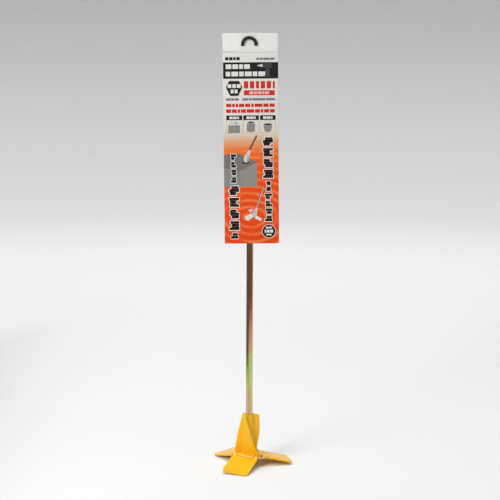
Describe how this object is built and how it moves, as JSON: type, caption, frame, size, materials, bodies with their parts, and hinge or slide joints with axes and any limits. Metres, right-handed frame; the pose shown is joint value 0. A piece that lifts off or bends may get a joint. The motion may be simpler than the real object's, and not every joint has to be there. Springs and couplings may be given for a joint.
{
  "type": "drill paint mixer",
  "caption": "Drill-driven paint mixer: hexagon-bar shank, twisted finned plastic hub and folding plastic blades, with a cardboard hang sleeve over the shank.",
  "frame": {"origin": "centre of the flat end face at the top of the hexagon shank, on the spin axis", "axes": "+Z along the spin axis, out of the shank's end and away from the blades; +Y points away from the printed face of the card, which looks along -Y; +X completes a right-handed frame"},
  "size_m": [0.0799, 0.0836, 0.4383],
  "materials": {
    "plated_steel": "yellow-chromate zinc plating, satin, faintly iridescent",
    "plain_steel": "bright zinc plating",
    "yellow_plastic": "moulded orange-yellow polypropylene, semi-gloss",
    "printed_card": "coated cardboard with a matt-gloss print",
    "black_plastic": "moulded black plastic, satin"
  },
  "bodies": {
    "mixer": {"hex_shaft": "plated_steel", "hub": "yellow_plastic", "screw_washer": "plain_steel", "retaining_screw": "plain_steel", "hinge_pin_1": "plain_steel", "hinge_pin_2": "plain_steel", "hinge_pin_3": "plain_steel"},
    "blade_1": {"blade_1": "yellow_plastic"},
    "blade_2": {"blade_2": "yellow_plastic"},
    "blade_3": {"blade_3": "yellow_plastic"},
    "card": {"hang_card": "printed_card", "hang_loop": "black_plastic"}
  },
  "joints": [
    {"name": "blade_1_hinge", "type": "hinge", "parent": "mixer", "child": "blade_1", "pos_m": [-0.00342, -0.00961, -0.4091], "axis": [0.9393, -0.3345, -0.0767], "range_deg": [0, 75]},
    {"name": "blade_2_hinge", "type": "hinge", "parent": "mixer", "child": "blade_2", "pos_m": [0.01003, 0.00184, -0.4091], "axis": [-0.18, 0.9807, -0.0767], "range_deg": [0, 75]},
    {"name": "blade_3_hinge", "type": "hinge", "parent": "mixer", "child": "blade_3", "pos_m": [-0.00661, 0.00777, -0.4091], "axis": [-0.7593, -0.6462, -0.0767], "range_deg": [0, 75]},
    {"name": "card_slide", "type": "slide", "parent": "mixer", "child": "card", "axis": [0, 0, 1], "range_m": [0, 0.195]}
  ]
}
